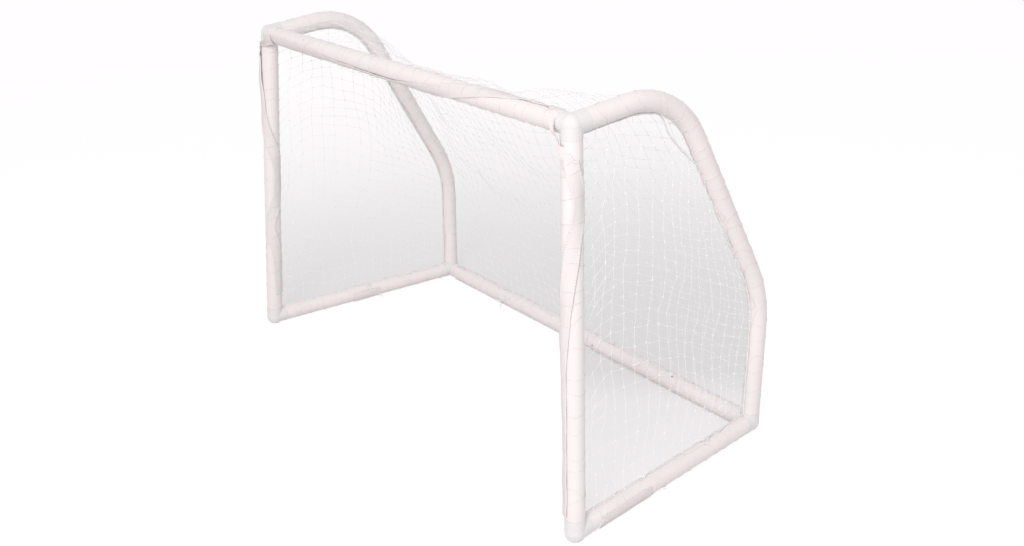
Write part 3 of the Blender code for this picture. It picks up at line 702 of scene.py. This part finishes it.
def faces_of_strip(inner, outer, along_it, across_it):
    """Rings and their UV from the two faces of a strip, each (places along, places across, 3)."""
    rings = np.concatenate([inner[:, ::-1], outer], axis=1)
    u, v = (np.broadcast_to(values, inner.shape[:2]) for values in (along_it, across_it))
    return rings, np.stack([np.concatenate([u, u], axis=1), np.concatenate([v[:, ::-1], v], axis=1)], axis=-1)


def band(name, route, material, seed):
    """A knitted band with beaded edges, for the node that it is named after: its two faces lie at the tube's
    radius plus the route's lift, small waves, and plus or minus half the thickness, which swells at both
    edges."""
    index = np.arange(len(route.far))
    far, w = route.far[:, None], np.linspace(-0.5, 0.5, 21)[None, :]
    rng = np.random.default_rng(seed)
    phase = rng.uniform(0, 2 * np.pi, 6)
    edge = np.abs(2 * w) ** 6
    stitch = 0.65 + 0.35 * np.sin(far / 0.0011 + phase[2] + 9.0 * w)
    bead = np.exp(-((np.abs(w) - 0.42) / 0.07) ** 2) * stitch
    waves = (0.0005 * np.sin(far / 0.021 + 3.0 * w + phase[0]) * np.sin(far / 0.083 + phase[1])
             + 0.0009 * bead + 0.0007 * edge * np.sin(far / 0.017 + phase[3]))
    lift = route.lift(index[:, None], w) + BAND_SEAT + waves
    half = BAND_SKIN + BAND_BEAD * bead
    angle = route.angle[:, None] + (w + 0.018 * np.sin(far / 0.034 + phase[4] + 2 * w)) * route.spread
    outer = on_tube(route.line, route.reference, far + 0 * w, angle, TUBE_RADIUS + lift + half)
    inner = on_tube(route.line, route.reference, far + 0 * w, angle,
                    np.maximum(TUBE_RADIUS + lift - half, TUBE_RADIUS + BAND_GAP))
    rings, uv = faces_of_strip(inner, outer, far, w * route.width)
    item = piece(name + "_knitted", [strip(rings, uv)], material, [name])


def wrap(name, corner, stations, width, material):
    """A band gathered over a corner: across it, five folds as deep as its full width needs there, bent to a
    circle where it lies round a tube."""
    columns = [np.array([station[k] for station in stations], float) for k in range(4)]
    done = travelled(columns[0])
    far = np.arange(0, done[-1], BAND_STEP)
    path, way = (np.stack([smooth(np.interp(far, done, column[:, k]), 4) for k in range(3)], axis=1)
                 for column in columns[:2])
    share, curl = (smooth(np.interp(far, done, column), 4)[:, None] for column in columns[2:])
    tangent = unit(np.gradient(path, axis=0))
    way = unit(way - (way * tangent).sum(1, keepdims=True) * tangent)
    out = np.cross(tangent, way)
    out = (out * np.sign((out * path).sum(1, keepdims=True)))[:, None]
    w = np.linspace(-0.5, 0.5, 61)[None, :]
    deep = 2.45 * np.maximum(0.9 / share - 1, 0) ** 0.6 * width * share / (10 * math.pi)
    edge, full, round_tube = np.abs(2 * w) ** 6, width * share * w, TUBE_RADIUS + 0.003
    folds = deep * (1 + np.sin(10 * math.pi * w + far[:, None] / 0.025))
    frill = 0.0004 * edge * np.sin(far[:, None] / 0.0042)
    lift = folds + frill - curl * round_tube * (1 - np.cos(full / round_tube))
    middle = path[:, None] + full[..., None] * way[:, None] + lift[..., None] * out
    half = ((BAND_SKIN + 0.0004 * edge) * np.ones_like(share))[..., None] * out
    rings, uv = faces_of_strip(middle - half, middle + half, far[:, None], width * w)
    if np.linalg.det(np.stack([tangent[0], way[0], out[0, 0]])) > 0:
        rings, uv = rings[:, ::-1], uv[:, ::-1]
    item = piece(name, [strip(rings + corner, uv)], material)


def lacing_path(line, reference, pitch, home, seed, cover):
    """Lacing on a tube: at each station the cord goes once round, square to the tube on its way out and
    leaning on its way back, and then runs along the net's side to the next. One unbroken cord's points."""
    rng = np.random.default_rng(seed)
    length = travelled(line)[-1]
    start, stop = LACING_MARGIN, length - LACING_MARGIN
    count = max(1, round((stop - start) / pitch))
    station = start + (np.arange(count) + 0.5) * (stop - start) / count
    station = station + rng.uniform(-0.30, 0.30, count) * pitch
    turn = np.linspace(0, 1, 25)
    lean = rng.uniform(-0.45, 0.75, count)[:, None] * pitch
    bend = rng.normal(size=(2, count, 1)) * 0.16 * pitch
    far = (station[:, None] + lean * (turn - 0.5) * (turn > 0.5) + bend[0] * np.sin(2 * np.pi * turn)
           + bend[1] * np.sin(4 * np.pi * turn))
    drift = rng.normal(size=count)[:, None] * 0.30
    angle = home + drift + 2 * np.pi * turn[None, :] + 2 * np.pi * np.arange(count)[:, None]
    slack = 0.0012 * rng.uniform(0, 1, (count, 1)) * np.sin(np.pi * turn) ** 2
    far, angle, slack = far.ravel(), angle.ravel(), slack.ravel()
    order = np.linspace(0, len(far) - 1, len(far) + 4 * count)
    steps = np.arange(len(far))
    far, angle, slack = (np.interp(order, steps, values) for values in (far, angle, slack))
    height = cover(far, angle) if cover else 0.0
    path = on_tube(line, reference, np.clip(far, 0.002, length - 0.002), angle,
                   TUBE_RADIUS + LACING_SEAT + height + slack)
    path[:, 2] = np.maximum(path[:, 2], 0.0009)
    return path


def tie(start, end, reference, far, degrees, size, seed):
    """A short cord tied round a tube: a knot, two bows and a loose end. The knot is a trefoil:
    (2 + cos 3t)(cos 2t, sin 2t) along the tube's skin, and sin 3t out of it."""
    rng = np.random.default_rng(seed)
    line, t = np.array([start, end]), np.linspace(0, 2 * np.pi, 40)[:, None]
    place, beyond = (on_tube(line, reference, np.array([far]), math.radians(degrees), TUBE_RADIUS + rise)[0]
                     for rise in (TIE_STAND, 1.0 + TIE_STAND))
    out = beyond - place
    side = unit(np.cross(out, end - start + 0.2 * UP))
    knot = ((2 + np.cos(3 * t)) * (np.cos(2 * t) * side + np.sin(2 * t) * np.cross(out, side))
            + np.sin(3 * t) * out)
    surfaces = [sweep((place + KNOT_SIZE * knot)[None], KNOT_RADIUS, 6)]
    for turn in rng.uniform(0, 2 * np.pi, 2):
        way = np.cos(turn) * side + np.sin(turn) * np.cross(out, side)
        bow = size * (0.5 * (1 - np.cos(t)) * way + 0.28 * np.sin(t) * np.cross(out, way)
                      + 0.3 * (1 - np.cos(t)) * out)
        surfaces.append(sweep((place + bow)[None], TIE_RADIUS, 6))
    share = np.linspace(0, 1, 24)[:, None]
    loose = place + size * share * (1.3 * unit(rng.normal(size=3) * 0.5 + out) - 0.8 * share * UP)
    surfaces.append(sweep((loose + wander(loose, seed, 0.001, 0.02) * share)[None], TIE_RADIUS, 6))
    return surfaces


# The floor

def fallen(points):
    """Where points land on the floor along lines from the camera's place, which shapes the floor's painted
    shade
    as a flash there would throw it: stretched by the camera's height over the height still to fall."""
    eye = np.array(EYE)
    return (eye + (points - eye) * (eye[2] / (eye[2] - points[:, 2]))[:, None])[:, :2]


def lamp_place(look):
    """The lamp's place: from where it points, up by its height and round by its turn."""
    height, turn = math.radians(look.lamp_height), math.radians(look.lamp_turn)
    way = np.array([math.sin(turn) * math.cos(height), -math.cos(turn) * math.cos(height), math.sin(height)])
    return LAMP_AIM + look.lamp_far * way


def painted_shade_outline():
    """The outline of the floor's painted shade, where a flash at the camera would throw the nets' shadow:
    along the right rail, back over the right arm, by the crossbar to the left side, and along the rear bar to
    the line past the right foot."""
    arm = fallen(arm_line(1)[::-1])
    corners = np.array([FOOT, REAR, LEFT_FOOT, LEFT_REAR, LEFT_TOP])
    foot, rear, left_foot, left_rear, left_top = fallen(corners)
    way, bar = foot - np.array(EYE[:2]), rear - left_rear
    share = np.cross(left_rear - foot, bar) / np.cross(way, bar)
    return np.concatenate([[foot, rear], arm, [left_top, left_foot, left_rear, foot + way * share]])


def depth_inside(spots, edge):
    """How far inside a closed outline each spot is, below 0 outside it. A spot is inside where a line from it
    crosses the outline an odd number of times."""
    near, odd = np.full(len(spots), 99.0), np.zeros(len(spots), bool)
    for a, b in zip(edge, np.roll(edge, -1, axis=0)):
        t = np.clip((spots - a) @ (b - a) / max(1e-9, (b - a) @ (b - a)), 0, 1)
        near = np.minimum(near, np.linalg.norm(spots - a - t[:, None] * (b - a), axis=1))
        crosses = (a[1] > spots[:, 1]) != (b[1] > spots[:, 1])
        odd ^= crosses & (spots[:, 0] < a[0] + (spots[:, 1] - a[1]) * (b[0] - a[0]) / (b[1] - a[1] + 1e-12))
    return np.where(odd, near, -near)


def studio_floor(look):
    """A large floor with the level at which the camera sees it. It has a painted shade, shaped like the shadow
    that the nets would throw from a flash at the camera, deep at the goal and gone a few metres on: a smooth
    step of how far inside the shade's outline it is, times a depth by how far off it is."""
    x = np.concatenate([[-60, -20, -9], np.arange(-6.0, 1.6, FLOOR_STEP), [4, 20, 60]])
    y = np.concatenate([[-60, -20, -4], np.arange(-0.6, 4.4, FLOOR_STEP), [9, 20, 60]])
    spots = np.stack(np.meshgrid(x, y, indexing="ij"), axis=-1).reshape(-1, 2)
    rise = np.clip((depth_inside(spots, painted_shade_outline()) + PAINTED_SHADE_START) / PAINTED_SHADE_EDGE, 0, 1)
    far = np.linalg.norm(spots - np.array(EYE[:2]), axis=1)
    # Painted shade: the floor's level is lowered inside the outline, by the depth for its distance from the
    # camera
    shade = look.shade * np.interp(far, *zip(*PAINTED_SHADE_DEPTH)) * rise * rise * (3 - 2 * rise)
    level = look.lift * (1 - shade)
    index = np.arange(len(spots)).reshape(len(x), len(y))
    quads = np.stack([index[:-1, :-1], index[1:, :-1], index[1:, 1:], index[:-1, 1:]], axis=-1).reshape(-1, 4)
    mesh = bpy.data.meshes.new("studio_floor")
    mesh.from_pydata(np.column_stack([spots, np.zeros(len(spots))]), [], quads)
    mesh.attributes.new("level", "FLOAT", "POINT").data.foreach_set("value", level.astype(np.float32))
    floor = bpy.data.objects.new("studio_floor", mesh)
    bpy.context.scene.collection.objects.link(floor)
    return floor


# What the user can change

def length_of(name, default, description):
    return bpy.props.FloatProperty(name=name, default=default, description=description, unit="LENGTH",
                                   precision=4, min=0.0)


def colour_of(name, default, description):
    return bpy.props.FloatVectorProperty(name=name, default=default, description=description, subtype="COLOR",
                                         size=3, min=0.0, max=1.0)


def number_of(name, default, description, low=0.0, high=1000.0):
    return bpy.props.FloatProperty(name=name, default=default, description=description, min=low, max=high)


class GoalFinishes(bpy.types.PropertyGroup):
    tube: colour_of("Tube colour", (0.88, 0.815, 0.808), "Colour of the extruded tubes")
    corner: colour_of("Corner colour", (0.81, 0.778, 0.782), "Colour of the moulded corners")
    twine: colour_of("Twine colour", (0.98, 0.98, 0.985), "Colour of the net, the ropes and the lacing")
    band: colour_of("Band colour", (0.875, 0.812, 0.803), "Colour of the border band")
    tube_roughness: number_of("Tube roughness", 0.36, "How matt the tubes are", high=1.0)
    corner_roughness: number_of("Corner roughness", 0.20, "How matt the corners are", high=1.0)


class GoalNets(bpy.types.PropertyGroup):
    pitch: length_of("Mesh size", 0.048, "Distance between neighbouring knots")
    cord: length_of("Cord diameter", 0.0010, "Thickness of the net's cord")
    slack: number_of("Slack", 0.05, "How far a cord hangs between two knots, as a share of its length",
                     high=0.3)
    draw: number_of("Draw-in", 0.36, "How far the net leaves the arms' line at mid-span", high=1.0)


class GoalTrim(bpy.types.PropertyGroup):
    band_width: length_of("Band width", 0.045, "Width of the knitted border band")
    rope: length_of("Edge rope diameter", 0.006, "Thickness of the side nets' edge ropes")
    lacing: length_of("Lacing diameter", 0.0012, "Thickness of the lacing cord")
    lacing_pitch: length_of("Lacing pitch", 0.060, "Distance between two turns of the lacing")


class GoalStage(bpy.types.PropertyGroup):
    key: number_of("Key light", 0.50, "How bright the lamp lights a white surface at the goal")
    lamp_size: number_of("Lamp size", 3.2, "Width of the lamp's disc in metres")
    lamp_far: number_of("Lamp distance", 8.0, "How far the lamp is from the goal in metres")
    lamp_height: number_of("Lamp height", 34.0, "Angle of the lamp over the floor in degrees")
    lamp_turn: number_of("Lamp turn", 42.0, "Angle of the lamp round the goal in degrees", -180.0, 180.0)
    ambient: number_of("Ambient", 0.63, "Light from all round")
    floor: colour_of("Floor colour", (0.72, 0.705, 0.71), "Colour of the studio floor")
    lift: number_of("Floor lift", 1.19, "How bright the floor is where the camera sees it")
    # The floor's shade is painted into the level at which the camera sees it, over the nets' own faint shadow
    shade: number_of("Floor shade", 1.0, "How much of the nets' soft shade the floor shows", 0.0, 2.0)


def finishes():
    """Makes the six materials once, and returns the file's materials by name."""
    made = bpy.data.materials
    if "net_twine_finish" not in made:
        look = bpy.context.scene.goal_finishes
        tube_finish("tube_plastic_finish", look.tube, look.tube_roughness)
        corner_finish("corner_plastic_finish", look.corner, look.corner_roughness)
        # The last number of each twine: how much of its colour the painted shade in the grooves leaves
        twine_finish("net_twine_finish", look.twine, 0.011, 2, 0.93)
        twine_finish("rope_finish", look.twine, ROPE_LAY, 3, 0.60)
        twine_finish("lacing_finish", look.band, 0.009, 2, 0.92)
        band_finish("band_cloth_finish", look.band, 0.0026)
    return made


class GOAL_OT_plastics(bpy.types.Operator):
    """Gives the tubes and the corners their plastics"""
    bl_idname = "goal.plastics"
    bl_label = "Tubes and corners"

    def execute(self, context):
        made = finishes()
        for name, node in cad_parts.items():
            if name.endswith(("_net", "_rope", "_band")):
                continue
            corner = name.endswith(("corner", "elbow"))
            finish = made["corner_plastic_finish" if corner else "tube_plastic_finish"]
            for slot in node.material_slots:
                slot.material = finish
        return {"FINISHED"}


class GOAL_OT_nets(bpy.types.Operator):
    """Makes the five knotted panels of the net"""
    bl_idname = "goal.nets"
    bl_label = "Nets"

    def execute(self, context):
        twine, sizes = finishes()["net_twine_finish"], context.scene.goal_nets
        for name, side, seed in (("right_side_net", 1, 11), ("left_side_net", -1, 23)):
            net(name, side_knots(side, sizes.pitch), sizes.cord, twine, seed, sizes.slack)
        knots = span_knots(sizes.pitch, sizes.draw)
        first, second = (round((len(knots) - 1) * share) for share in (ROOF_END, SLOPE_END))
        net("roof_net", knots[:first + 1], sizes.cord, twine, 31, sizes.slack)
        net("slope_net", knots[first:second + 1], sizes.cord, twine, 37, sizes.slack, False)
        net("back_net", knots[second:], sizes.cord, twine, 41, sizes.slack, False)
        return {"FINISHED"}


class GOAL_OT_ropes(bpy.types.Operator):
    """Makes the laid ropes along the side nets' edges and under the rear bar"""
    bl_idname = "goal.ropes"
    bl_label = "Edge ropes"

    def execute(self, context):
        rope, radius = finishes()["rope_finish"], context.scene.goal_trim.rope / 2
        for name, side in (("right_hem_rope", 1), ("left_hem_rope", -1)):
            line, _ = arm_inside(ROPE_INSET, side > 0)
            line = line + wander(line, 7, 0.0012, 0.07) * [0.4, 1.0, 1.0]
            laid(name, on_side(line, side), radius, rope)
        low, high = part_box("rear_edge_rope")
        ends = np.array([[x, (low.y + high.y) / 2, radius + ROPE_GAP] for x in (low.x, high.x)])
        laid("rear_edge_rope", along(ends, np.linspace(0, 1, 40)), radius, rope)
        return {"FINISHED"}


def band_routes(width):
    """The five bands' routes, by node. On the rails, angles start a little below the right-hand side."""
    dip = math.radians(RAIL_BAND_DIP)
    low = np.array([math.cos(dip), 0.0, -math.sin(dip)])
    return {
        "crossbar_band": BandRoute(bare("crossbar"), FRONT, CROSSBAR_BAND, width),
        "left_post_band": BandRoute(bare("left_post"), FRONT, LEFT_POST_BAND, width),
        "right_post_band": BandRoute(bare("right_post"), FRONT, RIGHT_POST_BAND, width),
        "right_rail_band": BandRoute(bare("right_base_rail"), low, RIGHT_RAIL_BAND, width),
        "left_rail_band": BandRoute(bare("left_base_rail")[::-1], low, LEFT_RAIL_BAND, width)}


class GOAL_OT_bands(bpy.types.Operator):
    """Makes the knitted border bands on the crossbar, the posts and the rails, and over the top corners"""
    bl_idname = "goal.bands"
    bl_label = "Border bands"

    def execute(self, context):
        cloth, width = finishes()["band_cloth_finish"], context.scene.goal_trim.band_width
        for seed, (name, route) in enumerate(band_routes(width).items(), 50):
            band(name, route, cloth, seed)
        wrap("right_corner_wrap", TOP, RIGHT_WRAP, width, cloth)
        wrap("left_corner_wrap", LEFT_TOP, LEFT_WRAP, width, cloth)
        return {"FINISHED"}


class GOAL_OT_lacing(bpy.types.Operator):
    """Winds the lacing cord round every tube"""
    bl_idname = "goal.lacing"
    bl_label = "Lacing"

    def execute(self, context):
        cord, trim = finishes()["lacing_finish"], context.scene.goal_trim
        routes = band_routes(trim.band_width)
        runs = []
        for name, reference, home in LACING:
            route = routes.get(name + "_band")
            runs.append((name, bare(name), reference, home, route.cover if route else None))
        for side, label in ((1, "right"), (-1, "left")):
            line = arm_line(side)
            length = travelled(line)[-1]
            laced = along(line, np.linspace(ARM_MARGINS[0], length - ARM_MARGINS[1], 120) / length)
            runs.append((label + "_side_arm", laced, RIGHT, ARM_LACING, None))
        for seed, (name, line, reference, home, cover) in enumerate(runs, 70):
            path = lacing_path(line, reference, trim.lacing_pitch, home, seed, cover)
            piece(name + "_lacing", [sweep(path[None], trim.lacing / 2, 6)], cord)
        return {"FINISHED"}


class GOAL_OT_ties(bpy.types.Operator):
    """Ties the short cords with their knots, bows and loose ends, and lays the cord that came off"""
    bl_idname = "goal.ties"
    bl_label = "Ties"

    def execute(self, context):
        surfaces = []
        for seed, place in enumerate(TIES, 90):
            surfaces += tie(*place, seed)
        rail, t = np.array([FOOT, REAR]), np.linspace(-1, 1, 40)
        for way in (1, -1):
            cord = on_tube(rail, RIGHT, 0.088 + 0.034 * t, -0.25 + way * 0.9 * t, TUBE_RADIUS + 0.002)
            surfaces.append(sweep(cord[None], TIE_RADIUS, 6))
        loose = np.array([(x, MOUTH_Y + y, z) for x, y, z in LOOSE_CORD])
        surfaces.append(sweep(along(loose, np.linspace(0, 1, 120))[None], KNOT_RADIUS, 6))
        for spots, _, _ in surfaces:
            spots[:, 2] = np.maximum(spots[:, 2], FLOOR_GAP)
        piece("ties", surfaces, finishes()["net_twine_finish"])
        return {"FINISHED"}


class GOAL_OT_stage(bpy.types.Operator):
    """Sets up the camera, the floor, the light all round and the lamp"""
    bl_idname = "goal.stage"
    bl_label = "Studio"

    def execute(self, context):
        scene, look = context.scene, context.scene.goal_stage
        scene.view_settings.view_transform = "Standard"
        data = bpy.data.cameras.new("camera")
        data.sensor_width, data.lens, data.clip_end = 36.0, LENS, 100.0
        camera = bpy.data.objects.new("camera", data)
        camera.location, camera.rotation_euler = EYE, Euler([math.radians(a) for a in EYE_TURN])
        scene.collection.objects.link(camera)
        scene.camera = camera

        floor = studio_floor(look)
        finish = Finish("studio_floor_finish", 0.9)
        finish.put("Base Color", (*look.floor, 1.0))
        finish.put("Specular IOR Level", 0.0)
        # The level attribute holds the floor's brightness with its painted shade, tinted green and blue below
        # red
        level = finish.node("ShaderNodeAttribute", out=2, attribute_name="level")
        green, blue = (level * share for share in FLOOR_TINT)
        glow = finish.node("ShaderNodeEmission", {
            "Color": finish.node("ShaderNodeCombineColor", {0: level, 1: green, 2: blue})})
        mixed = finish.node("ShaderNodeMixShader", {
            0: finish.seen() * FLOOR_SHARE, 1: Signal(finish, finish.shader.outputs[0]), 2: glow})
        finish.tree.links.new(mixed.socket, finish.tree.nodes["Material Output"].inputs["Surface"])
        floor.data.materials.append(finish.material)

        world = bpy.data.worlds.new("studio_world")
        scene.world = world
        around = Nodes(world)
        back = around.tree.nodes["Background"]
        back.inputs["Color"].default_value = (1.0, 1.0, 1.0, 1.0)
        strength = around.seen() * (1.0 - look.ambient) + look.ambient
        around.tree.links.new(strength.socket, back.inputs["Strength"])

        data = bpy.data.lights.new("front_lamp", "AREA")
        data.shape, data.size = "DISK", look.lamp_size
        data.energy = look.key * math.pi ** 2 * look.lamp_far ** 2
        lamp = bpy.data.objects.new("front_lamp", data)
        lamp.location = lamp_place(look)
        lamp.rotation_euler = (math.radians(90.0 - look.lamp_height), 0.0, math.radians(look.lamp_turn))
        scene.collection.objects.link(lamp)
        return {"FINISHED"}


class GOAL_PT_panel(bpy.types.Panel):
    """Lists the steps that dress the goal"""
    bl_label = "Tube football goal"
    bl_idname = "GOAL_PT_panel"
    bl_space_type = "VIEW_3D"
    bl_region_type = "UI"
    bl_category = "Goal"

    def draw(self, context):
        scene = context.scene
        for group in (scene.goal_finishes, scene.goal_nets, scene.goal_trim, scene.goal_stage):
            for key in group.__annotations__:
                self.layout.prop(group, key)
        for step in STEPS:
            self.layout.operator(step.bl_idname)


GROUPS = {
    "goal_finishes": GoalFinishes, "goal_nets": GoalNets, "goal_trim": GoalTrim, "goal_stage": GoalStage}
STEPS = [
    GOAL_OT_stage, GOAL_OT_plastics, GOAL_OT_ropes, GOAL_OT_nets, GOAL_OT_bands, GOAL_OT_lacing, GOAL_OT_ties]


def register():
    for cls in (*GROUPS.values(), *STEPS, GOAL_PT_panel):
        bpy.utils.register_class(cls)
    for name, group in GROUPS.items():
        setattr(bpy.types.Scene, name, bpy.props.PointerProperty(type=group))


def unregister():
    for name in GROUPS:
        delattr(bpy.types.Scene, name)
    for cls in (GOAL_PT_panel, *reversed(STEPS), *reversed(list(GROUPS.values()))):
        bpy.utils.unregister_class(cls)


def main():
    register()
    for step in STEPS:
        area, name = step.bl_idname.split(".")
        getattr(getattr(bpy.ops, area), name)()


if __name__ == "__main__":
    main()
